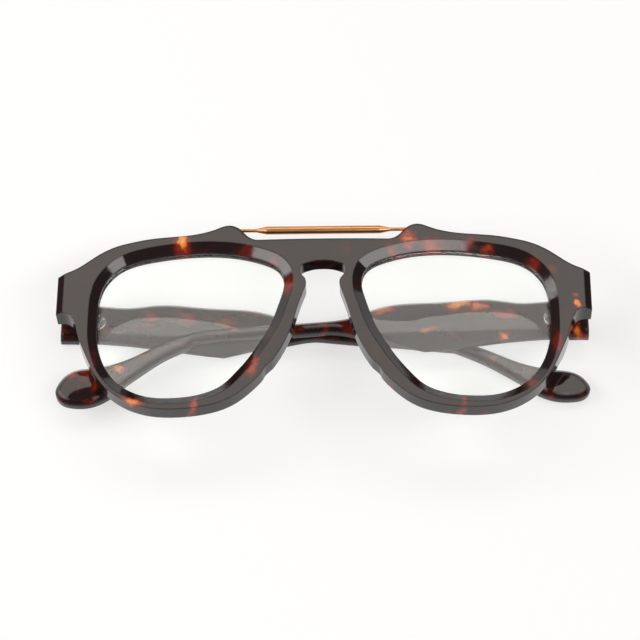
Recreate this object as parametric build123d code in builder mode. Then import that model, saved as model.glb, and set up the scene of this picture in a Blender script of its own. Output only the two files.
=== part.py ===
from build123d import *
import os
from math import asin, atan2, cos, degrees, sin, sqrt

# Double bridge glasses, folded and lying face up on the wearer's right temple.
# +X runs to the wearer's left, +Y up the front, +Z out of the front's face.
# side is -1 for the wearer's right and +1 for the wearer's left.

# Lenses and rims
lens_width = 52.0
lens_height = 45.4
bridge_gap = 20.6
rim_width = 4.4
lens_drop = 12.5
groove_depth = 0.5
lens_thickness = 1.7
lens_setback = 2.5
lens_clearance = 0.02
bevel_width = 2.6
bevel_depth = 1.8

# Front
front_thickness = 4.9
front_radius = 440.0
endpiece_width = 11.7
endpiece_top = 5.6
endpiece_bottom = 6.9
endpiece_thickness = 7.0
endpiece_root = 3.4
endpiece_step = 2.4
facet_width = 1.8
facet_depth = 1.1
brow_height = 13.1
hump_height = 18.1
hump_x = 26.1
hump_base = 8.0
nose_top = 5.6
notch_half_width = 6.3
notch_neck = 4.6

# Second bridge
bar_length = 31.4
bar_diameter = 2.3
bar_end_diameter = 1.0
bar_taper = 3.0
bar_span = 53.0
bar_lift = 3.9
bar_depth = 1.8
bar_clearance = 0.03
bar_screw_diameter = 0.8
bar_screw_head = 1.6
bar_screw_head_height = 0.5
bar_screw_inset = 1.0

# Nose pads
pad_length = 14.0
pad_width = 3.6
pad_depth = 7.6
pad_back_length = 9.0
pad_back_width = 2.4
pad_flare = 1.4
pad_top_x = 8.3
pad_top_drop = 6.6
pad_bottom_x = 12.2
pad_bottom_drop = 19.6
pad_edge = 0.8

# Temples
temple_thickness = 3.8
temple_gap = 0.3
temple_reach = 142.8
temple_end = 5.2
end_top = 3.3
end_drop = 8.0
bump_reach = 40.7
bump_drop = 12.5
rod_start = 68.0
rod_end = 100.0
rod_drop = 3.5
rod_height = 3.5
rod_fall = 3.1
tip_drop_right = 19.0
tip_drop_left = 24.0
temple_edge = 0.8
temple_face_edge = 1.1
cheek_drop = 6.3
cheek_bump_drop = 7.75
end_clearance = 0.15

# Hinges
hinge_offset = 1.35
hinge_drop = 2.75
barrel_radius = 1.15
barrel_height = 1.0
barrel_gap = 0.04
leaf_length = 7.4
leaf_height = 4.6
leaf_thickness = 0.9
leaf_proud = 0.1
leaf_clearance = 0.02
plate_inset = 2.7
screw_radius = 0.6
screw_clearance = 0.03
screw_head_radius = 1.05
screw_head_height = 0.5

# Core wires
wire_radius = 0.6
wire_clearance = 0.02
wire_start = 2.5
wire_bend = 15.0

overrun = 10.0

RIGHT = -1
LEFT = 1
SIDE_NAMES = {RIGHT: "right", LEFT: "left"}

# Places that follow from the sizes
lens_x = bridge_gap / 2 + lens_width / 2
half_width = bridge_gap / 2 + lens_width + endpiece_width
hinge_x = half_width - temple_end
lean = asin((temple_thickness + temple_gap) / (2 * hinge_x))
axis_x = hinge_x * cos(lean)
axis_height = temple_thickness + hinge_offset
hinge_height = axis_height + hinge_x * sin(lean)
rim_bottom = -lens_drop - lens_height / 2 - rim_width
hinge_y = -(hump_height + rim_bottom) / 2
endpiece_back = temple_end + end_clearance

front_plane = Plane(
    origin=(0, hinge_y, hinge_height),
    x_dir=(cos(lean), 0, sin(lean)),
    z_dir=(-sin(lean), 0, cos(lean)),
)
section_plane = Plane(
    origin=front_plane.origin, x_dir=front_plane.x_dir, z_dir=-front_plane.y_dir
)


def sag(radius, x):
    return radius - sqrt(radius**2 - x**2)


crown = endpiece_back + endpiece_thickness + sag(front_radius, hinge_x)
front_reach = crown + overrun


def face_height(depth, x):
    """How far the surface that lies depth behind the front's face stands before the hinge line at x."""
    return crown - depth - sag(front_radius - depth, x)


def rim_spot(u, v):
    return (
        lens_x + u * (lens_width / 2 + rim_width),
        -lens_drop + v * (lens_height / 2 + rim_width),
    )


# The lens outline, in shares of the lens's half width and half height, from the outer edge over the top
lens_shares = [
    (1.0, -0.02),
    (1.0, 0.30),
    (0.945, 0.62),
    (0.79, 0.835),
    (0.42, 0.965),
    (0.0, 1.0),
    (-0.40, 0.97),
    (-0.74, 0.865),
    (-0.935, 0.72),
    (-0.985, 0.50),
    (-0.94, 0.273),
    (-0.865, 0.004),
    (-0.733, -0.295),
    (-0.61, -0.52),
    (-0.481, -0.705),
    (-0.34, -0.865),
    (-0.18, -0.95),
    (-0.012, -0.991),
    (0.18, -1.0),
    (0.373, -0.98),
    (0.527, -0.925),
    (0.712, -0.795),
    (0.831, -0.645),
    (0.921, -0.457),
    (0.977, -0.242),
]


def lens_spots(side, margin):
    """The lens opening's outline, or with a margin the outline of the lens edge in its groove."""
    return [
        (
            side * (lens_x + u * (lens_width / 2 + margin)),
            -lens_drop + v * (lens_height / 2 + margin),
        )
        for u, v in lens_shares
    ]


def curved_slab(near, far):
    """The shell between two depths behind the front's face."""
    wide = half_width + overrun
    with BuildPart() as slab:
        with BuildSketch(section_plane):
            with BuildLine():
                ThreePointArc(
                    (-wide, face_height(near, wide)), (0, crown - near), (wide, face_height(near, wide))
                )
                Line((wide, face_height(near, wide)), (wide, face_height(far, wide)))
                ThreePointArc(
                    (wide, face_height(far, wide)), (0, crown - far), (-wide, face_height(far, wide))
                )
                Line((-wide, face_height(far, wide)), (-wide, face_height(near, wide)))
            make_face()
        extrude(amount=half_width, both=True)
    return slab.part


def lens_blank(side, clearance):
    """A lens with its edge, or with no clearance the space that the groove leaves for it."""
    shell = curved_slab(lens_setback + clearance, lens_setback + lens_thickness - clearance)
    with BuildPart() as blank:
        with BuildSketch(front_plane):
            with BuildLine():
                Spline(*lens_spots(side, groove_depth - clearance), periodic=True)
            make_face()
        extrude(amount=front_reach)
        add(shell, mode=Mode.INTERSECT)
    return blank.part


def nose_pad(side):
    """A pad glued on the back of the nasal rim, narrower and leaning outwards towards the face."""
    seat = face_height(front_thickness, pad_top_x)
    middle_x = (pad_top_x + pad_bottom_x) / 2
    middle_y = -(pad_top_drop + pad_bottom_drop) / 2
    slope = degrees(atan2(pad_bottom_x - pad_top_x, pad_bottom_drop - pad_top_drop))
    rim_body = curved_slab(0, front_thickness)
    with BuildPart() as pad:
        with BuildSketch(front_plane.offset(seat)):
            with Locations(Location((side * middle_x, middle_y), side * slope)):
                SlotOverall(pad_length, pad_width, rotation=90)
        with BuildSketch(front_plane.offset(seat - pad_depth)):
            with Locations(Location((side * (middle_x + pad_flare), middle_y), side * slope)):
                SlotOverall(pad_back_length, pad_back_width, rotation=90)
        loft()
        fillet(pad.faces().sort_by(Axis.Z)[0].edges(), radius=pad_edge)
        add(rim_body, mode=Mode.SUBTRACT)
    return pad.part


# Hinges: five barrels on one screw, three on the front leaf and two on the temple leaf
barrel_pitch = barrel_height + barrel_gap
barrel_stack = 5 * barrel_height + 4 * barrel_gap
temple_barrels = (-1, 1)
pocket_depth = leaf_thickness - leaf_proud


def front_plate(side, clearance):
    """The front leaf's plate, or with a clearance the pocket that it is sunk in."""
    length = plate_inset + barrel_radius
    with BuildPart() as plate:
        with BuildSketch(front_plane.offset(endpiece_back - leaf_proud)):
            with Locations((side * (hinge_x + barrel_radius - length / 2), -hinge_drop)):
                Rectangle(length + 2 * clearance, leaf_height + 2 * clearance)
        extrude(amount=leaf_thickness + clearance)
    return plate.part


def hinge_front(side):
    plate = front_plate(side, 0)
    with BuildPart() as leaf:
        with BuildSketch(section_plane.offset(hinge_drop)):
            with Locations((side * hinge_x, 0)):
                Circle(barrel_radius)
            with Locations((side * hinge_x, endpiece_back / 2)):
                Rectangle(2 * barrel_radius, endpiece_back)
        extrude(amount=barrel_stack / 2, both=True)
        for step in temple_barrels:
            with BuildSketch(section_plane.offset(hinge_drop + step * barrel_pitch)):
                with Locations((side * hinge_x, 0)):
                    Rectangle(4 * barrel_radius, 2 * hinge_offset)
            extrude(amount=barrel_height / 2 + barrel_gap, both=True, mode=Mode.SUBTRACT)
        add(plate)
        with BuildSketch(section_plane.offset(hinge_drop)):
            with Locations((side * hinge_x, 0)):
                Circle(screw_radius + screw_clearance)
        extrude(amount=barrel_stack, both=True, mode=Mode.SUBTRACT)
    return leaf.part


def hinge_screw(side):
    with BuildPart() as screw:
        with BuildSketch(section_plane.offset(hinge_drop)):
            with Locations((side * hinge_x, 0)):
                Circle(screw_radius)
        extrude(amount=barrel_stack / 2, both=True)
        with BuildSketch(section_plane.offset(hinge_drop - barrel_stack / 2)):
            with Locations((side * hinge_x, 0)):
                Circle(screw_head_radius)
        extrude(amount=-screw_head_height)
        rim = screw.faces().sort_by(Axis.Y)[-1].edges()
        chamfer(rim, length=screw_head_height / 3)
        with BuildSketch(section_plane.offset(hinge_drop - barrel_stack / 2 - screw_head_height)):
            with Locations((side * hinge_x, 0)):
                Rectangle(2 * screw_head_radius, screw_head_height / 2)
        extrude(amount=screw_head_height / 2, mode=Mode.SUBTRACT)
    return screw.part


# Bar
bar_y = brow_height + bar_lift
bar_z = face_height(bar_depth, hump_x)
bar_screw_x = bar_span / 2 - bar_screw_inset
bar_screw_seat = face_height(front_thickness, bar_screw_x)
bar_tip = bar_z - bar_end_diameter / 2 - bar_clearance


def bar_screw(side, clearance, back, tip):
    """The screw that holds the bar's end from behind, or with a clearance the hole that it sits in."""
    with BuildPart() as screw:
        with BuildSketch(front_plane.offset(back)):
            with Locations((side * bar_screw_x, bar_y)):
                Circle(bar_screw_diameter / 2 + clearance)
        extrude(amount=tip - back)
        with BuildSketch(front_plane.offset(back)):
            with Locations((side * bar_screw_x, bar_y)):
                Circle(bar_screw_head / 2 + clearance)
        extrude(amount=bar_screw_seat + bar_screw_head_height + clearance - back)
    return screw.part


bar_plane = Plane(
    origin=front_plane.from_local_coords(Vector(0, bar_y, bar_z)),
    x_dir=front_plane.x_dir,
    z_dir=front_plane.z_dir,
)


def bar_profile(clearance):
    half = bar_length / 2
    thick = bar_diameter / 2
    thin = bar_end_diameter / 2 + clearance
    end = bar_span / 2 + clearance
    return [(0, 0), (0, thick), (half, thick), (half + bar_taper, thin), (end, thin), (end, 0), (0, 0)]


with BuildPart() as top_bar:
    with BuildSketch(bar_plane):
        with BuildLine():
            Polyline(*bar_profile(0))
            mirror(about=Plane.YZ)
        make_face()
    revolve(axis=Axis(bar_plane.origin, bar_plane.x_dir))

# Front
hump_rise = hump_height - brow_height
shoulder = rim_spot(0.0, 1.037)
hump_shares = [(0.61, 0.30), (0.35, 0.76)]
hump_back_shares = [(0.40, 0.54), (0.70, 0.20)]
brow_shares = [(0.33, 1.022), (0.576, 0.99), (0.74, 0.945), (0.905, 0.85), (1.066, 0.735)]
rim_shares = [
    (1.03, -0.045),
    (0.954, -0.28),
    (0.859, -0.517),
    (0.72, -0.734),
    (0.39, -0.956),
    (0.05, -1.0),
    (-0.33, -0.925),
    (-0.515, -0.79),
    (-0.668, -0.6),
]
kink_share = (-0.752, -0.487)
nasal_shares = [(-0.863, -0.262), (-0.919, -0.09), (-0.949, 0.039), (-0.993, 0.214), (-1.023, 0.314)]
neck_drop_share = 0.205
notch_shares = [(0.78, -0.01), (0.911, 0.193), (1.0, 0.52), (0.93, 0.74), (0.736, 0.857)]
inner_end = half_width - endpiece_width + endpiece_root

frame_cuts = []
for side in (RIGHT, LEFT):
    frame_cuts.append(lens_blank(side, 0))
    frame_cuts.append(front_plate(side, leaf_clearance))
    frame_cuts.append(bar_screw(side, bar_clearance, bar_screw_seat - overrun, bar_z))

with BuildPart() as front_frame:
    with BuildSketch(front_plane):
        with BuildLine():
            Line((0, brow_height), (hump_x - hump_base, brow_height))
            Spline(
                (hump_x - hump_base, brow_height),
                *[(hump_x - u * hump_base, brow_height + v * hump_rise) for u, v in hump_shares],
                (hump_x, hump_height),
                *[
                    (
                        hump_x + u * (shoulder[0] - hump_x),
                        shoulder[1] + v * (hump_height - shoulder[1]),
                    )
                    for u, v in hump_back_shares
                ],
                shoulder,
                *[rim_spot(u, v) for u, v in brow_shares],
                (half_width, endpiece_top),
                tangents=[(1, 0), (1, -0.28)],
                tangent_scalars=[1, 1],
            )
            Line((half_width, endpiece_top), (half_width, -endpiece_bottom))
            Line((half_width, -endpiece_bottom), (half_width - facet_width, -endpiece_bottom))
            Spline(
                (half_width - facet_width, -endpiece_bottom),
                *[rim_spot(u, v) for u, v in rim_shares],
                rim_spot(*kink_share),
                tangents=[(-1, -0.1), (-1, 0.9)],
            )
            Spline(
                rim_spot(*kink_share),
                *[rim_spot(u, v) for u, v in nasal_shares],
                (notch_neck, -neck_drop_share * nose_top),
                *[(u * notch_half_width, v * nose_top) for u, v in notch_shares],
                (0, nose_top),
                tangents=[(-0.56, 0.83), (-1, 0)],
            )
            mirror(about=Plane.YZ)
        make_face()
    extrude(amount=front_reach)
    with BuildSketch(section_plane):
        with BuildLine():
            facet_start = half_width - facet_width
            step_x = inner_end - endpiece_step
            ThreePointArc(
                (-facet_start, face_height(0, facet_start)),
                (0, crown),
                (facet_start, face_height(0, facet_start)),
            )
            Polyline(
                (facet_start, face_height(0, facet_start)),
                (half_width, face_height(0, facet_start) - facet_depth),
                (half_width, endpiece_back),
                (inner_end, endpiece_back),
                (step_x, face_height(front_thickness, step_x)),
            )
            ThreePointArc(
                (step_x, face_height(front_thickness, step_x)),
                (0, crown - front_thickness),
                (-step_x, face_height(front_thickness, step_x)),
            )
            Polyline(
                (-step_x, face_height(front_thickness, step_x)),
                (-inner_end, endpiece_back),
                (-half_width, endpiece_back),
                (-half_width, face_height(0, facet_start) - facet_depth),
                (-facet_start, face_height(0, facet_start)),
            )
        make_face()
    extrude(amount=half_width, both=True, mode=Mode.INTERSECT)
    with BuildSketch(front_plane):
        for side in (RIGHT, LEFT):
            with BuildLine():
                Spline(*lens_spots(side, 0), periodic=True)
            make_face()
    extrude(amount=front_reach, mode=Mode.SUBTRACT)
    face = front_frame.faces().filter_by(GeomType.CYLINDER).sort_by(Axis.Z)[-1]
    bevels = [edge for wire in face.inner_wires() for edge in wire.edges()]
    chamfer(bevels, length=bevel_width, length2=bevel_depth, reference=face)
    add(frame_cuts, mode=Mode.SUBTRACT)
    with BuildSketch(bar_plane):
        with BuildLine():
            Polyline(*bar_profile(bar_clearance))
            mirror(about=Plane.YZ)
        make_face()
    revolve(axis=Axis(bar_plane.origin, bar_plane.x_dir), mode=Mode.SUBTRACT)


# Temples
body_top_shares = [(0.07, 0.97), (0.21, 0.79), (0.31, 1.06), (0.53, 0.80), (0.75, 0.42)]
neck_shares = [(0.815, 0.0), (0.90, 0.64)]
body_bottom_shares = [(0.76, 0.904), (0.42, 0.744), (0.15, 0.664)]
after_bump_shares = [(0.64, 0.745), (0.32, 0.42), (0.13, 0.16)]
tip_shares = [
    (0.093, 0.028),
    (0.187, 0.080),
    (0.304, 0.168),
    (0.467, 0.336),
    (0.607, 0.453),
    (0.724, 0.505),
    (0.829, 0.523),
    (0.918, 0.579),
    (0.979, 0.706),
    (1.0, 0.841),
    (0.963, 0.953),
    (0.888, 1.0),
    (0.783, 0.995),
    (0.678, 0.916),
    (0.561, 0.748),
    (0.420, 0.542),
    (0.257, 0.339),
    (0.140, 0.222),
]
bump_slope_share = 0.25
cheek_slope_share = 0.51
wire_neck_share = (0.19, 0.175)
wire_tip_share = (0.40, 0.39)
tip_length = temple_reach - rod_end
tip_start = rod_drop + rod_fall
tip_drops = {RIGHT: tip_drop_right, LEFT: tip_drop_left}
temple_bases = {RIGHT: 0, LEFT: temple_thickness + temple_gap}


def temple_plane(side, height):
    return Plane(origin=(side * axis_x, hinge_y, temple_bases[side] + height))


def wire_solid(side, clearance):
    """The core wire, or with a clearance the bore that it lies in."""
    neck_s, neck_drop = wire_neck_share
    last_s, last_drop = wire_tip_share
    spots = [
        (wire_start - clearance, -hinge_drop),
        (bump_reach, -bump_drop / 2),
        (rod_start, -rod_drop - rod_height / 2),
        (rod_end, -tip_start - rod_height / 2),
        (rod_end + neck_s * tip_length, -tip_start - neck_drop * tip_drops[side]),
        (rod_end + last_s * tip_length + clearance, -tip_start - last_drop * tip_drops[side]),
    ]
    path_plane = temple_plane(side, temple_thickness / 2 - pocket_depth / 2)
    with BuildPart() as wire:
        with BuildLine(path_plane):
            path = FilletPolyline(*[(-side * s, h) for s, h in spots], radius=wire_bend)
        with BuildSketch(Plane(origin=path @ 0, z_dir=path % 0)):
            Circle(wire_radius + clearance)
        sweep()
    return wire.part


def leaf_plate(side, clearance):
    """The temple leaf's plate, or with a clearance the pocket that it is sunk in."""
    floor = temple_thickness - pocket_depth
    with BuildPart() as plate:
        with BuildSketch(temple_plane(side, floor - clearance)):
            end_radius = leaf_height / 2
            with Locations((-side * (leaf_length - end_radius), -hinge_drop)):
                Circle(end_radius + clearance)
            with Locations((-side * (leaf_length - end_radius) / 2, -hinge_drop)):
                Rectangle(leaf_length - end_radius + 2 * clearance, leaf_height + 2 * clearance)
        extrude(amount=leaf_thickness + clearance)
    return plate.part


def hinge_temple(side):
    centre = (0, axis_height)
    plate = leaf_plate(side, 0)
    barrel_plane = Plane(
        origin=(side * axis_x, hinge_y - hinge_drop, temple_bases[side]),
        x_dir=(1, 0, 0),
        z_dir=(0, -1, 0),
    )
    with BuildPart() as leaf:
        for step in temple_barrels:
            with BuildSketch(barrel_plane.offset(step * barrel_pitch)):
                with Locations(centre):
                    Circle(barrel_radius)
                with Locations((-side * barrel_radius / 2, axis_height - hinge_offset / 2)):
                    Rectangle(barrel_radius, hinge_offset)
            extrude(amount=barrel_height / 2, both=True)
        add(plate)
        with BuildSketch(barrel_plane):
            with Locations(centre):
                Circle(screw_radius + screw_clearance)
        extrude(amount=barrel_stack, both=True, mode=Mode.SUBTRACT)
    return leaf.part


def cheek(side):
    """The wide bevel along the lower inner edge, from the hinge to past the widest place."""
    fall = (cheek_bump_drop - cheek_drop) / bump_reach
    start = Vector(side * axis_x, hinge_y - cheek_drop, temple_bases[side] + temple_thickness)
    slant = Vector(side * fall * cheek_slope_share, -cheek_slope_share, 1)
    with BuildPart() as wedge:
        with BuildSketch(Plane(origin=start, x_dir=(-side, -fall, 0), z_dir=slant)):
            with Locations(((rod_start - overrun) / 2, 0)):
                Rectangle(rod_start + overrun, 2 * bump_drop)
        extrude(amount=overrun)
    return wedge.part


def temple(side):
    tip_drop = tip_drops[side]
    rod_slope = (-side * (rod_end - rod_start), -rod_fall)
    rod_back_slope = (side * (rod_end - rod_start), rod_fall)
    bump_fall = bump_drop - rod_drop - rod_height

    def spot(s, drop):
        return (-side * s, -drop)

    def tip_spots(shares):
        return [spot(rod_end + u * tip_length, tip_start + v * tip_drop) for u, v in shares]

    bump_spots = [
        spot(bump_reach + u * (rod_start - bump_reach), bump_drop - v * bump_fall)
        for u, v in after_bump_shares
    ]
    cuts = [cheek(side), leaf_plate(side, leaf_clearance), wire_solid(side, wire_clearance)]
    with BuildPart() as arm:
        with BuildSketch(temple_plane(side, 0)):
            with BuildLine():
                Spline(
                    spot(-temple_end, -end_top),
                    *[spot(u * rod_start, -v * end_top) for u, v in body_top_shares],
                    *[spot(u * rod_start, v * rod_drop) for u, v in neck_shares],
                    spot(rod_start, rod_drop),
                    tangents=[(-side, 0), rod_slope],
                )
                Line(spot(rod_start, rod_drop), spot(rod_end, tip_start))
                Spline(
                    spot(rod_end, tip_start),
                    *tip_spots(tip_shares),
                    spot(rod_end, tip_start + rod_height),
                    tangents=[rod_slope, rod_back_slope],
                )
                Line(spot(rod_end, tip_start + rod_height), spot(rod_start, rod_drop + rod_height))
                Spline(
                    spot(rod_start, rod_drop + rod_height),
                    *bump_spots,
                    spot(bump_reach, bump_drop),
                    tangents=[rod_back_slope, (side, -bump_slope_share)],
                )
                Spline(
                    spot(bump_reach, bump_drop),
                    *[spot(u * bump_reach, v * bump_drop) for u, v in body_bottom_shares],
                    spot(-temple_end, end_drop),
                )
                Line(spot(-temple_end, end_drop), spot(-temple_end, -end_top))
            make_face()
        extrude(amount=temple_thickness)
        end_face = arm.faces().sort_by(Axis.X)[0 if side == RIGHT else -1]
        outer_face = arm.faces().sort_by(Axis.Z)[0]
        inner_face = arm.faces().sort_by(Axis.Z)[-1]
        end_edges = end_face.edges()
        chamfer([e for e in outer_face.edges() if e not in end_edges], length=temple_edge)
        chamfer([e for e in inner_face.edges() if e not in end_edges], length=temple_face_edge)
        add(cuts, mode=Mode.SUBTRACT)
    return arm.part


pieces = {"front_frame": front_frame.part, "top_bar": top_bar.part}
for side, name in SIDE_NAMES.items():
    pieces["lens_" + name] = lens_blank(side, lens_clearance)
    pieces["bar_screw_" + name] = bar_screw(side, 0, bar_screw_seat, bar_tip)
    pieces["nose_pad_" + name] = nose_pad(side)
    pieces["hinge_front_" + name] = hinge_front(side)
    pieces["hinge_screw_" + name] = hinge_screw(side)
    pieces["hinge_temple_" + name] = hinge_temple(side)
    pieces["core_wire_" + name] = wire_solid(side, 0)
    pieces["temple_" + name] = temple(side)

os.makedirs("parts", exist_ok=True)
for name, piece in pieces.items():
    piece.label = name
    export_step(piece, f"parts/{name}.step")
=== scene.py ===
import math

import bmesh
import bpy
from mathutils import Matrix, Quaternion, Vector


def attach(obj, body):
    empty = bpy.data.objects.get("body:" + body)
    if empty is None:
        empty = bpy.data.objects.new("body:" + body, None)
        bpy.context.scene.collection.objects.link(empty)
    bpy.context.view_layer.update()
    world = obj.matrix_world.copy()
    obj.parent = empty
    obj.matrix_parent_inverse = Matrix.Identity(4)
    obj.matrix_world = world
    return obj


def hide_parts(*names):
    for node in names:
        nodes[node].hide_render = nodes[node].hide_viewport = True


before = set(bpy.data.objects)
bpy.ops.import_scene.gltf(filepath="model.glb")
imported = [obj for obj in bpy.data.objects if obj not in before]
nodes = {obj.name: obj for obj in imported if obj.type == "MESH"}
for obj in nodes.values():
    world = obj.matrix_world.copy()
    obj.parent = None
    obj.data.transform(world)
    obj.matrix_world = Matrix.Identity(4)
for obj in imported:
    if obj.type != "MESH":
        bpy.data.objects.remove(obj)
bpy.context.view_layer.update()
scene = bpy.context.scene
scene.view_settings.view_transform = "Standard"
mm = 0.001  # metres
weld = 0.0001 * mm  # points closer than this are one point
hingeX = 68.8  # mm from the middle to each hinge

view = {
    "elevation": 60.0, "roll": 0.3,  # degrees
    "distance": 0.698, "target": (-0.0012, 0.0028, 0.01535), "clip": (0.01, 20),  # metres
    "lens": 142.0, "sensor": 36.0,  # mm
}


def link(name, data):
    thing = bpy.data.objects.new(name, data)
    scene.collection.objects.link(thing)
    return thing


def placeCamera():
    data = bpy.data.cameras.new("camera")
    data.lens, data.sensor_width = view["lens"], view["sensor"]
    data.clip_start, data.clip_end = view["clip"]
    data.dof.use_dof = False
    camera = link("camera", data)
    e, r = math.radians(view["elevation"]), math.radians(view["roll"])
    back = Vector((0, -math.cos(e), math.sin(e)))
    right = Vector((1, 0, 0))
    up = back.cross(right)
    turned = (right * math.cos(r) + up * math.sin(r), up * math.cos(r) - right * math.sin(r), back)
    place = Matrix(turned).transposed().to_4x4()
    place.translation = Vector(view["target"]) + back * view["distance"]
    camera.matrix_world = place
    scene.camera = camera


softboxes = {  # azimuth from the camera's side towards +X, angles in degrees, the rest in metres
    "overheadBox": {
        "azimuth": 180, "elevation": 59, "tilt": 0, "distance": 1.1,
        "width": 1.5, "height": 0.42, "radiance": 2.2, "colour": (1.0, 0.95, 0.87),
    },
    "rightBox": {
        "azimuth": 55, "elevation": 51, "tilt": -25, "distance": 1.2,
        "width": 1.17, "height": 0.31, "radiance": 5.4, "colour": (1.0, 0.98, 0.95),
    },
    "leftBox": {
        "azimuth": -84, "elevation": 38, "tilt": 12.5, "distance": 1.2,
        "width": 1.37, "height": 0.42, "radiance": 5.6, "colour": (1.0, 0.98, 0.95),
    },
}


def placeSoftbox(name, box):
    data = bpy.data.lights.new(name, "AREA")
    data.shape, data.size, data.size_y = "RECTANGLE", box["width"], box["height"]
    data.color = box["colour"]
    data.energy = box["radiance"] * math.pi * box["width"] * box["height"]
    lamp = link(name, data)
    a, e = math.radians(box["azimuth"]), math.radians(box["elevation"])
    away = Vector((math.sin(a) * math.cos(e), -math.cos(a) * math.cos(e), math.sin(e)))
    lamp.location = away * box["distance"]
    lamp.rotation_mode = "QUATERNION"
    tilt = Quaternion((0, 0, 1), math.radians(box["tilt"]))
    lamp.rotation_quaternion = away.to_track_quat("Z", "Y") @ tilt


class Tree:
    def __init__(self, tree):
        self.tree = tree
        tree.nodes.clear()

    def add(self, kind, inputs=None, **settings):
        node = self.tree.nodes.new(kind)
        for key, value in settings.items():
            setattr(node, key, value)
        for key, value in (inputs or {}).items():
            if isinstance(value, bpy.types.NodeSocket):
                self.tree.links.new(value, node.inputs[key])
            else:
                node.inputs[key].default_value = value
        return node

    def calc(self, a, b, operation="ADD", clamp=False):
        return self.add("ShaderNodeMath", {0: a, 1: b}, operation=operation, use_clamp=clamp).outputs[0]

    def vector(self, operation, a, b=None):
        inputs = {0: a} if b is None else {0: a, "Scale" if operation == "SCALE" else 1: b}
        node = self.add("ShaderNodeVectorMath", inputs, operation=operation)
        return node.outputs["Value" if operation == "LENGTH" else "Vector"]

    def remap(self, value, old, new, interpolation="LINEAR"):
        inputs = {"Value": value, "From Min": old[0], "From Max": old[1]}
        inputs.update({"To Min": new[0], "To Max": new[1]})
        return self.add("ShaderNodeMapRange", inputs, interpolation_type=interpolation).outputs[0]

    def noise(self, place, scale, detail, roughness=0.5):
        inputs = {"Vector": place, "Scale": scale, "Detail": detail, "Roughness": roughness}
        return self.add("ShaderNodeTexNoise", inputs)

    def bump(self, height, normal, strength, distance):
        inputs = {"Height": height, "Strength": strength, "Distance": distance, "Normal": normal}
        return self.add("ShaderNodeBump", inputs).outputs[0]

    def rounded(self, radius):  # edges that shine as if polished
        return self.add("ShaderNodeBevel", {"Radius": radius}, samples=4).outputs[0]

    def seen(self, *rays):
        path = self.add("ShaderNodeLightPath")
        total = path.outputs[rays[0]]
        for ray in rays[1:]:
            total = self.calc(total, path.outputs[ray], "MAXIMUM")
        return total

    def finish(self, surface, kind="ShaderNodeOutputMaterial"):
        self.add(kind, {"Surface": surface.outputs[0]})


studio = {
    "darkLevel": 0.12, "fillLevel": 0.12,  # radiance of the room in reflections, and as light
    "sweepTop": 0.20, "sweepBlur": 0.01,  # the white sweep's height as a share, as reflections see it
    "floorColour": 0.40, "floorGlow": 0.60,
    "floorSize": 3.0, "floorDrop": 0.2 * mm,
}


def makeWorld():
    world = bpy.data.worlds.new("studio")
    world.use_nodes = True
    scene.world = world
    t = Tree(world.node_tree)
    heading = t.add("ShaderNodeTexCoord").outputs["Generated"]
    rise = t.add("ShaderNodeSeparateXYZ", {0: heading}).outputs["Z"]
    top, blur = studio["sweepTop"], studio["sweepBlur"]
    sweep = t.remap(rise, (top - blur, top + blur), (1.0, studio["darkLevel"]))
    fill = {"Factor": t.seen("Is Glossy Ray"), "A": studio["fillLevel"], "B": sweep}
    dim = t.add("ShaderNodeMix", fill).outputs["Result"]
    clean = {"Factor": t.seen("Is Camera Ray", "Is Transmission Ray"), "A": dim, "B": 1.0}
    level = t.add("ShaderNodeMix", clean).outputs["Result"]
    room = t.add("ShaderNodeBackground", {"Color": (1, 1, 1, 1), "Strength": level})
    t.finish(room, "ShaderNodeOutputWorld")


def makeFloor():
    shape = bmesh.new()
    bmesh.ops.create_grid(shape, x_segments=1, y_segments=1, size=studio["floorSize"])
    bmesh.ops.translate(shape, vec=(0, 0, -studio["floorDrop"]), verts=shape.verts)
    data = bpy.data.meshes.new("floor")
    shape.to_mesh(data)
    shape.free()
    floor = link("floor", data)
    paper = bpy.data.materials.new("whitePaper")
    paper.use_nodes = True
    t = Tree(paper.node_tree)
    grey = studio["floorColour"]
    matt = t.add("ShaderNodeBsdfDiffuse", {"Color": (grey, grey, grey, 1)})
    lit = t.seen("Is Camera Ray", "Is Glossy Ray", "Is Transmission Ray")
    strength = t.calc(lit, studio["floorGlow"], "MULTIPLY")
    glow = t.add("ShaderNodeEmission", {"Color": (1, 1, 1, 1), "Strength": strength})
    t.finish(t.add("ShaderNodeAddShader", {0: matt.outputs[0], 1: glow.outputs[0]}))
    data.materials.append(paper)


placeCamera()
for name, box in softboxes.items():
    placeSoftbox(name, box)
makeWorld()
makeFloor()
print("studio ready")

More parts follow.
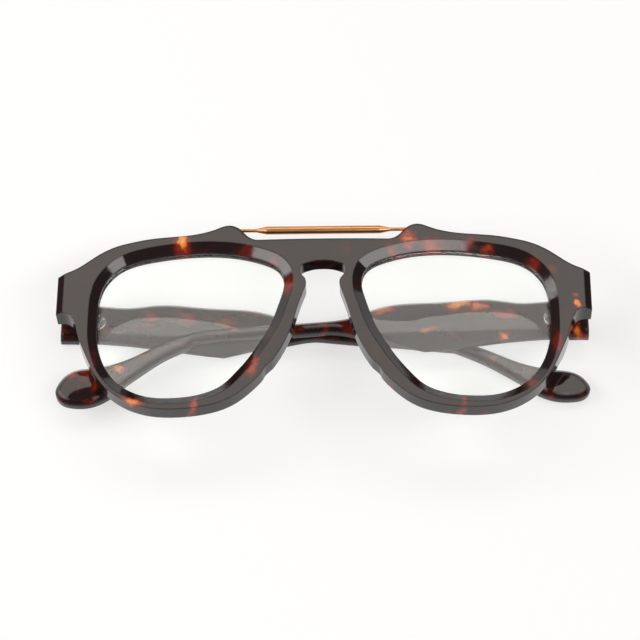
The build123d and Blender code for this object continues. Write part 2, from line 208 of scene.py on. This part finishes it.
frontLook = {  # patches: centre and half widths in mm, strength
    "cloudStretch": (0.10, 0.16, 0.16), "cloudAmount": 0.30, "cloudEdges": (0.52, 0.78),
    "warp": 6.4, "roughness": (0.04, 0.09), "edge": 0.45, "side": 0, "domes": [],  # warp and edge in mm
    "patches": [
        ((-39.4, 24.4, 21.5), (1.7, 4.2, 6), 0.93), ((-39.4, 23.4, 20), (3.8, 6.0, 8), 0.60),
        ((-21.0, 20.5, 23), (4.0, 3.0, 4), 0.45), ((-14.2, 17.0, 22), (3.2, 4.2, 5), 0.48),
        ((-9.9, 8.4, 23), (2.4, 5.5, 5), 0.55), ((-62.0, 9.8, 22), (2.6, 5.0, 5), 0.52),
        ((-63.0, -10.6, 21), (3.2, 4.6, 5), 0.66), ((-52.5, -25.0, 21), (4.6, 2.6, 5), 0.86),
        ((-35.4, -27.5, 20), (1.8, 4.0, 7), 0.74), ((-19.4, -17.0, 21), (2.6, 4.2, 7), 0.80),
        ((23.0, 24.0, 22), (3.6, 4.6, 6), 0.95), ((22.4, 23.0, 23), (1.9, 3.4, 4), 1.0),
        ((19.0, 21.0, 22), (4.4, 4.0, 5), 0.70), ((29.0, 22.0, 22), (6.0, 3.8, 5), 0.68),
        ((40.2, 23.6, 22), (4.2, 3.4, 5), 0.66), ((45.0, 21.6, 22), (2.4, 2.4, 4), 0.78),
        ((33.5, 22.6, 22), (3.0, 2.6, 4), 0.50), ((57.9, 16.6, 22), (3.0, 4.0, 5), 0.54),
        ((63.9, 15.8, 24), (2.2, 2.6, 3), 0.48), ((5.8, 20.4, 24), (2.2, 3.4, 3), 0.42),
        ((69.6, 5.2, 20), (1.5, 1.5, 6), 0.92), ((69.4, 7.8, 20), (1.3, 1.2, 6), 0.66),
        ((63.0, -6.4, 22), (2.4, 5.2, 5), 0.50), ((55.5, -20.2, 22), (3.0, 3.4, 5), 0.50),
        ((37.3, -27.6, 20), (2.0, 4.4, 7), 0.74), ((43.6, -29.4, 18), (3.4, 2.4, 4), 0.72),
        ((33.4, -29.2, 18), (2.6, 2.2, 4), 0.74), ((18.0, -19.0, 20), (1.8, 4.0, 5), 0.76),
    ],
}
templeRightLook = {  # domes: centre, reach and rise of the pillowed tip in mm
    "cloudStretch": (0.05, 0.26, 0.26), "cloudAmount": 0.62, "cloudEdges": (0.46, 0.74),
    "warp": 8.0, "roughness": (0.04, 0.09), "edge": 1.1, "side": -1,
    "domes": [((62.5, -13.0, 0), 9.0, 1.1)],
    "patches": [
        ((-49.0, 10.2, 2), (4.6, 3.0, 4), 0.60), ((-38.9, 8.8, 2), (4.2, 3.0, 4), 0.56),
        ((-26.9, 8.0, 2), (6.0, 2.2, 4), 0.56), ((-51.5, 6.6, 2), (6.5, 1.4, 4), 0.76),
        ((-53.6, 0.4, 2), (5.4, 1.6, 4), 0.62), ((-0.9, 2.0, 2), (3.2, 2.0, 4), 0.62),
        ((30.0, -0.4, 2), (5.0, 1.4, 4), 0.62), ((47.7, -3.0, 2), (4.0, 1.8, 4), 0.60),
        ((72.0, -13.0, 2), (1.8, 2.6, 4), 0.66), ((62.6, -14.6, 2), (2.6, 1.8, 4), 0.58),
    ],
}
templeLeftLook = {
    "cloudStretch": (0.05, 0.26, 0.26), "cloudAmount": 0.62, "cloudEdges": (0.46, 0.74),
    "warp": 8.0, "roughness": (0.04, 0.09), "edge": 1.1, "side": 1,
    "domes": [((-64.0, -13.5, 0), 10.0, 1.2)],
    "patches": [
        ((37.6, 12.4, 6), (6.4, 3.4, 5), 0.98), ((43.0, 11.0, 6), (4.4, 2.6, 5), 0.86),
        ((16.2, 10.6, 6), (6.0, 3.0, 5), 0.92), ((51.0, 8.6, 6), (8.0, 1.8, 4), 0.62),
        ((50.2, 2.0, 6), (4.2, 1.7, 4), 0.88), ((30.2, 3.6, 6), (5.4, 1.0, 4), 0.76),
        ((71.8, 4.2, 6), (2.6, 2.8, 5), 0.86), ((6.6, 5.8, 6), (5.4, 3.0, 4), 0.56),
        ((-0.9, 5.2, 6), (2.6, 2.0, 6), 0.64), ((-25.5, 2.6, 6), (3.0, 1.5, 4), 0.82),
        ((-49.8, -5.0, 6), (4.0, 1.9, 4), 0.90), ((-56.2, -9.4, 6), (3.2, 2.6, 4), 0.86),
        ((-70.2, -10.4, 6), (3.4, 3.0, 4), 0.90), ((-66.2, -10.8, 6), (3.2, 4.0, 4), 0.70),
        ((-63.2, -14.8, 6), (2.0, 5.0, 4), 0.58),
    ],
}
padLook = {
    "cloudStretch": (0.2, 0.16, 0.2), "cloudAmount": 0.62, "cloudEdges": (0.42, 0.70),
    "warp": 4.0, "roughness": (0.06, 0.12), "edge": 0.4, "side": 0, "domes": [], "patches": [],
}
acetateColours = [  # how far light gets into the sheet: 0 dark, 1 clear amber
    (0.00, (0.0150, 0.0070, 0.0075)), (0.30, (0.034, 0.0075, 0.0060)), (0.50, (0.130, 0.010, 0.006)),
    (0.70, (0.330, 0.040, 0.012)), (0.86, (0.700, 0.190, 0.024)), (1.00, (0.900, 0.400, 0.080)),
]
acetateNoise = {  # scale per mm
    "drift": {"scale": 0.16, "detail": 3.0, "roughness": 0.55},
    "cloud": {"scale": 1.0, "detail": 4.0},
    "grain": {"scale": 6.0, "detail": 3.0},
    "smear": {"scale": 0.35, "detail": 5.0},
    "wave": {"scale": 0.22, "detail": 1.0},
}
acetate = {
    "patchFade": (1.25, 0.25),  # a patch fades in between these shares of its half widths
    "grainEdges": (0.3, 0.7), "grainDepth": (0.90, 1.06), "smearEdges": (0.35, 0.7),
    "waveStrength": 0.05, "waveHeight": 0.2, "ior": 1.5,  # the height in mm
}
shoulder = {  # the broad upper bevel on a temple's inner face
    "highest": 12.0, "slope": 0.22,  # mm, share
    "line": [  # where it starts: mm from the hinge, mm up from the photo's middle line
        (0, 1.0), (5.8, 3.4), (9, 5.9), (13, 8.2), (18.5, 9.6), (27, 9.6),
        (35, 8.6), (41, 7.6), (45, 6.6), (53, 7.0), (60, 9.5), (75, 9.5),
    ],
}


def addTortoise(t, look, inMm):
    drift = t.noise(inMm, **acetateNoise["drift"]).outputs["Color"]
    pushed = t.vector("SCALE", t.vector("SUBTRACT", drift, (0.5, 0.5, 0.5)), look["warp"])
    warped = t.vector("ADD", inMm, pushed)
    stretched = t.vector("MULTIPLY", warped, look["cloudStretch"])
    cloud = t.noise(stretched, **acetateNoise["cloud"]).outputs[0]
    total = t.remap(cloud, look["cloudEdges"], (0.0, look["cloudAmount"]), "SMOOTHSTEP")
    for centre, reach, strength in look["patches"]:
        share = t.vector("DIVIDE", t.vector("SUBTRACT", warped, centre), reach)
        mask = t.remap(t.vector("LENGTH", share), acetate["patchFade"], (0.0, strength), "SMOOTHSTEP")
        total = t.calc(total, mask, "MAXIMUM")
    grain = t.noise(stretched, **acetateNoise["grain"]).outputs[0]
    mottled = t.remap(grain, acetate["grainEdges"], acetate["grainDepth"])
    ramp = t.add("ShaderNodeValToRGB", {"Fac": t.calc(total, mottled, "MULTIPLY", clamp=True)})
    stops = ramp.color_ramp.elements
    while len(stops) < len(acetateColours):
        stops.new(0.5)
    for stop, (where, colour) in zip(stops, acetateColours):
        stop.position, stop.color = where, (*colour, 1)
    return ramp.outputs[0]


def addDome(t, dome, inMm, normal):
    centre, reach, rise = dome
    flat = t.vector("MULTIPLY", t.vector("SUBTRACT", inMm, centre), (1, 1, 0))
    height = t.remap(t.vector("LENGTH", flat), (reach, 0.0), (0.0, rise), "SMOOTHSTEP")
    return t.bump(height, normal, 1.0, mm)


def addShoulder(t, side, inMm, normal):
    x, y, z = t.add("ShaderNodeSeparateXYZ", {0: inMm}).outputs
    fromHinge = {0: x, 1: -side, 2: hingeX}
    along = t.add("ShaderNodeMath", fromHinge, operation="MULTIPLY_ADD").outputs[0]
    length, highest = shoulder["line"][-1][0], shoulder["highest"]
    curve = t.add("ShaderNodeFloatCurve", {"Value": t.calc(along, length, "DIVIDE", clamp=True)})
    spots = [(s / length, up / highest) for s, up in shoulder["line"]]
    points = curve.mapping.curves[0].points
    points[0].location, points[1].location = spots[0], spots[-1]
    for spot in spots[1:-1]:
        points.new(*spot)
    curve.mapping.update()
    over = t.calc(y, t.calc(curve.outputs[0], highest, "MULTIPLY"), "SUBTRACT")
    fall = t.calc(t.calc(over, 0.0, "SMOOTH_MAX"), -shoulder["slope"], "MULTIPLY")
    return t.bump(fall, normal, 1.0, mm)


def makeAcetate(name, look):
    material = bpy.data.materials.new(name)
    material.use_nodes = True
    t = Tree(material.node_tree)
    inMm = t.vector("SCALE", t.add("ShaderNodeTexCoord").outputs["Object"], 1 / mm)
    colour = addTortoise(t, look, inMm)
    smear = t.noise(inMm, **acetateNoise["smear"]).outputs[0]
    rough = t.remap(smear, acetate["smearEdges"], look["roughness"])
    normal = t.rounded(look["edge"] * mm)
    for dome in look["domes"]:
        normal = addDome(t, dome, inMm, normal)
    if look["side"]:
        normal = addShoulder(t, look["side"], inMm, normal)
    wave = t.noise(inMm, **acetateNoise["wave"]).outputs[0]
    normal = t.bump(wave, normal, acetate["waveStrength"], acetate["waveHeight"] * mm)
    inputs = {"Base Color": colour, "Roughness": rough, "IOR": acetate["ior"], "Normal": normal}
    t.finish(t.add("ShaderNodeBsdfPrincipled", inputs))
    return material


lensLook = {
    "tint": (0.985, 1.0, 0.99, 1), "ior": 1.38, "shadowTint": (0.96, 0.97, 0.965, 1),
    "haze": {"scale": 40.0, "detail": 2.0}, "hazeEdges": (0.4, 0.8), "roughness": (0.0, 0.012),
}


def makeLensGlass():
    material = bpy.data.materials.new("clearLens")
    material.use_nodes = True
    t = Tree(material.node_tree)
    haze = t.noise(t.add("ShaderNodeTexCoord").outputs["Object"], **lensLook["haze"]).outputs[0]
    rough = t.remap(haze, lensLook["hazeEdges"], lensLook["roughness"])
    inputs = {"Base Color": lensLook["tint"], "Roughness": rough, "IOR": lensLook["ior"]}
    glass = t.add("ShaderNodeBsdfPrincipled", {**inputs, "Transmission Weight": 1.0})
    clear = t.add("ShaderNodeBsdfTransparent", {"Color": lensLook["shadowTint"]})
    shade = t.seen("Is Shadow Ray", "Is Diffuse Ray")
    t.finish(t.add("ShaderNodeMixShader", {0: shade, 1: glass.outputs[0], 2: clear.outputs[0]}))
    return material


metalLooks = {  # grain per metre, and its stretch along x, y and z
    "satinCopper": {
        "colour": (0.92, 0.46, 0.21), "roughness": 0.30, "grain": 900.0, "stretch": (0.06, 1, 1),
    },
    "nickelSilver": {
        "colour": (0.80, 0.78, 0.74), "roughness": 0.24, "grain": 700.0, "stretch": (1, 1, 1),
    },
    "darkScrew": {
        "colour": (0.62, 0.55, 0.48), "roughness": 0.30, "grain": 900.0, "stretch": (1, 1, 1),
    },
    "wireMetal": {
        "colour": (0.74, 0.73, 0.70), "roughness": 0.32, "grain": 500.0, "stretch": (0.05, 1, 1),
    },
}
metal = {
    "detail": 6.0, "detailShare": 0.65, "grainEdges": (0.3, 0.7), "roughSpread": (0.8, 1.25),
    "darker": 0.86, "edge": 0.3, "scratchStrength": 0.12, "scratchHeight": 0.03,  # edge and height in mm
}


def makeMetal(name):
    look = metalLooks[name]
    material = bpy.data.materials.new(name)
    material.use_nodes = True
    t = Tree(material.node_tree)
    place = t.add("ShaderNodeTexCoord").outputs["Object"]
    along = t.add("ShaderNodeMapping", {"Vector": place, "Scale": look["stretch"]}).outputs[0]
    lines = t.noise(along, look["grain"], metal["detail"], metal["detailShare"]).outputs[0]
    dark = tuple(c * metal["darker"] for c in look["colour"])
    colours = {"Factor": lines, 6: (*dark, 1), 7: (*look["colour"], 1)}
    tone = t.add("ShaderNodeMix", colours, data_type="RGBA").outputs[2]
    rough = t.remap(lines, metal["grainEdges"], [look["roughness"] * s for s in metal["roughSpread"]])
    normal = t.rounded(metal["edge"] * mm)
    normal = t.bump(lines, normal, metal["scratchStrength"], metal["scratchHeight"] * mm)
    inputs = {"Base Color": tone, "Metallic": 1.0, "Roughness": rough, "Normal": normal}
    t.finish(t.add("ShaderNodeBsdfPrincipled", inputs))
    return material


materials = {  # by the start of a node's name
    "front_frame": makeAcetate("frontAcetate", frontLook),
    "temple_right": makeAcetate("templeRightAcetate", templeRightLook),
    "temple_left": makeAcetate("templeLeftAcetate", templeLeftLook),
    "nose_pad": makeAcetate("padAcetate", padLook),
    "lens": makeLensGlass(),
    "top_bar": makeMetal("satinCopper"),
    "hinge": makeMetal("nickelSilver"),
    "bar_screw": makeMetal("darkScrew"),
    "core_wire": makeMetal("wireMetal"),
}
for name, node in nodes.items():
    kind = max((k for k in materials if name.startswith(k)), key=len)
    node.data.materials.clear()
    node.data.materials.append(materials[kind])
print("finishes ready")

front = {
    "tilt": 4.1, "faceRadius": 440.0,  # mm: how far one hinge lies above the other, and the face's curve
    "smooth": 20,  # degrees
    "facing": 0.8, "level": 0.1, "topward": 0.15,  # how a face's and a top wall's normals lie
}
browBevel = {
    "width": 1.35, "depth": 0.75,  # mm across the face and down the top wall
    "spare": 0.5, "overrun": 0.6,  # share that the cutter stands clear, and mm that it runs past each end
    "lowest": 16.0, "drop": 1.3,  # mm: the edge's least y, and how far below the face it may lie
    "closest": 0.15, "step": 0.8,  # mm between the edge's points, as found and once evened
}


def evenSteps(chain, step):
    ends = [0.0]
    for a, b in zip(chain, chain[1:]):
        ends.append(ends[-1] + (b - a).length)
    count = round(ends[-1] / step)
    line, k = [], 0
    for i in range(count + 1):
        far = ends[-1] * i / count
        while k < len(chain) - 2 and ends[k + 1] < far:
            k += 1
        line.append(chain[k].lerp(chain[k + 1], (far - ends[k]) / (ends[k + 1] - ends[k])))
    middle = [a / 4 + b / 2 + c / 4 for a, b, c in zip(line, line[1:], line[2:])]
    return [line[0]] + middle + [line[-1]]


def browLine(shape):
    lean = math.asin(front["tilt"] / (2 * hingeX))  # the folded front lies a little tilted
    up = Vector((-math.sin(lean), 0, math.cos(lean)))
    across = 2 * front["faceRadius"] * mm
    level = {v.index: v.co.dot(up) + v.co.x ** 2 / across for v in shape.verts}  # the face is one level
    lowest = max(level.values()) - browBevel["drop"] * mm
    spots = {}
    for edge in shape.edges:
        behind = min(level[v.index] for v in edge.verts) < lowest
        if behind or min(v.co.y for v in edge.verts) < browBevel["lowest"] * mm:
            continue
        face, wall = sorted(edge.link_faces, key=lambda f: -f.normal.dot(up))
        wallFits = abs(wall.normal.dot(up)) < front["level"] and wall.normal.y > front["topward"]
        if face.normal.dot(up) > front["facing"] and wallFits:
            for v in edge.verts:
                spots[v.index] = v.co.copy()
    chain = []
    for spot in sorted(spots.values(), key=lambda p: p.x):
        if not chain or (spot - chain[-1]).length > browBevel["closest"] * mm:
            chain.append(spot)
    line = evenSteps(chain, browBevel["step"] * mm)
    over = browBevel["overrun"] * mm
    first = line[0] + (line[0] - line[1]).normalized() * over
    last = line[-1] + (line[-1] - line[-2]).normalized() * over
    return [first] + line + [last]


def setPoints(curve, spots):
    line = curve.splines.new("POLY")
    line.points.add(len(spots) - 1)
    for point, spot in zip(line.points, spots):
        point.co = (*spot, 1)
    return line


def evaluated(thing):
    bpy.context.view_layer.update()
    return bpy.data.meshes.new_from_object(thing.evaluated_get(bpy.context.evaluated_depsgraph_get()))


def makeBrowCutter(line):
    wide, deep, spare = browBevel["width"] * mm, browBevel["depth"] * mm, browBevel["spare"]
    section = bpy.data.curves.new("section", "CURVE")
    corners = [
        (-(1 + spare) * wide, spare * deep, 0), (spare * wide, -(1 + spare) * deep, 0),
        (spare * wide, spare * deep, 0),
    ]
    setPoints(section, corners).use_cyclic_u = True
    outline = link("section", section)
    run = bpy.data.curves.new("browRun", "CURVE")
    run.dimensions, run.twist_mode = "3D", "Z_UP"
    setPoints(run, line)
    run.bevel_mode, run.bevel_object, run.use_fill_caps = "OBJECT", outline, True
    sweep = link("browRun", run)
    data = evaluated(sweep)
    bpy.data.objects.remove(sweep)
    bpy.data.objects.remove(outline)
    shape = bmesh.new()
    shape.from_mesh(data)
    bmesh.ops.remove_doubles(shape, verts=shape.verts, dist=weld)
    bmesh.ops.recalc_face_normals(shape, faces=shape.faces)
    shape.to_mesh(data)
    shape.free()
    return link("browCutter", data)


def cutBevel(sheet, cutter):
    cut = sheet.modifiers.new("browBevel", "BOOLEAN")
    cut.operation, cut.solver, cut.use_self, cut.object = "DIFFERENCE", "EXACT", True, cutter
    data = evaluated(sheet)
    sheet.modifiers.clear()
    sheet.data = data
    bpy.data.objects.remove(cutter)
    shape = bmesh.new()
    shape.from_mesh(data)
    bmesh.ops.remove_doubles(shape, verts=shape.verts, dist=weld)
    shape.to_mesh(data)
    shape.free()


def evenShading(sheet):
    sheet.data.polygons.foreach_set("use_smooth", [True] * len(sheet.data.polygons))
    sheet.data.set_sharp_from_angle(angle=math.radians(front["smooth"]))
    sheet.modifiers.new("evenShading", "WEIGHTED_NORMAL").keep_sharp = True
    data = evaluated(sheet)
    sheet.modifiers.clear()
    sheet.data = data


def makeFrontSheet():
    shape = bmesh.new()
    shape.from_mesh(nodes["front_frame"].data)
    bmesh.ops.remove_doubles(shape, verts=shape.verts, dist=weld)
    bmesh.ops.recalc_face_normals(shape, faces=shape.faces)
    cutter = makeBrowCutter(browLine(shape))
    data = bpy.data.meshes.new("frontSheet")
    shape.to_mesh(data)
    shape.free()
    if "custom_normal" in data.attributes:  # the solid's own normals don't fit the cut shape
        data.attributes.remove(data.attributes["custom_normal"])
    sheet = link("frontSheet", data)
    cutBevel(sheet, cutter)
    evenShading(sheet)
    sheet.data.materials.clear()
    sheet.data.materials.append(materials["front_frame"])
    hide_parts("front_frame")
    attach(sheet, "front")


makeFrontSheet()
print("front ready")
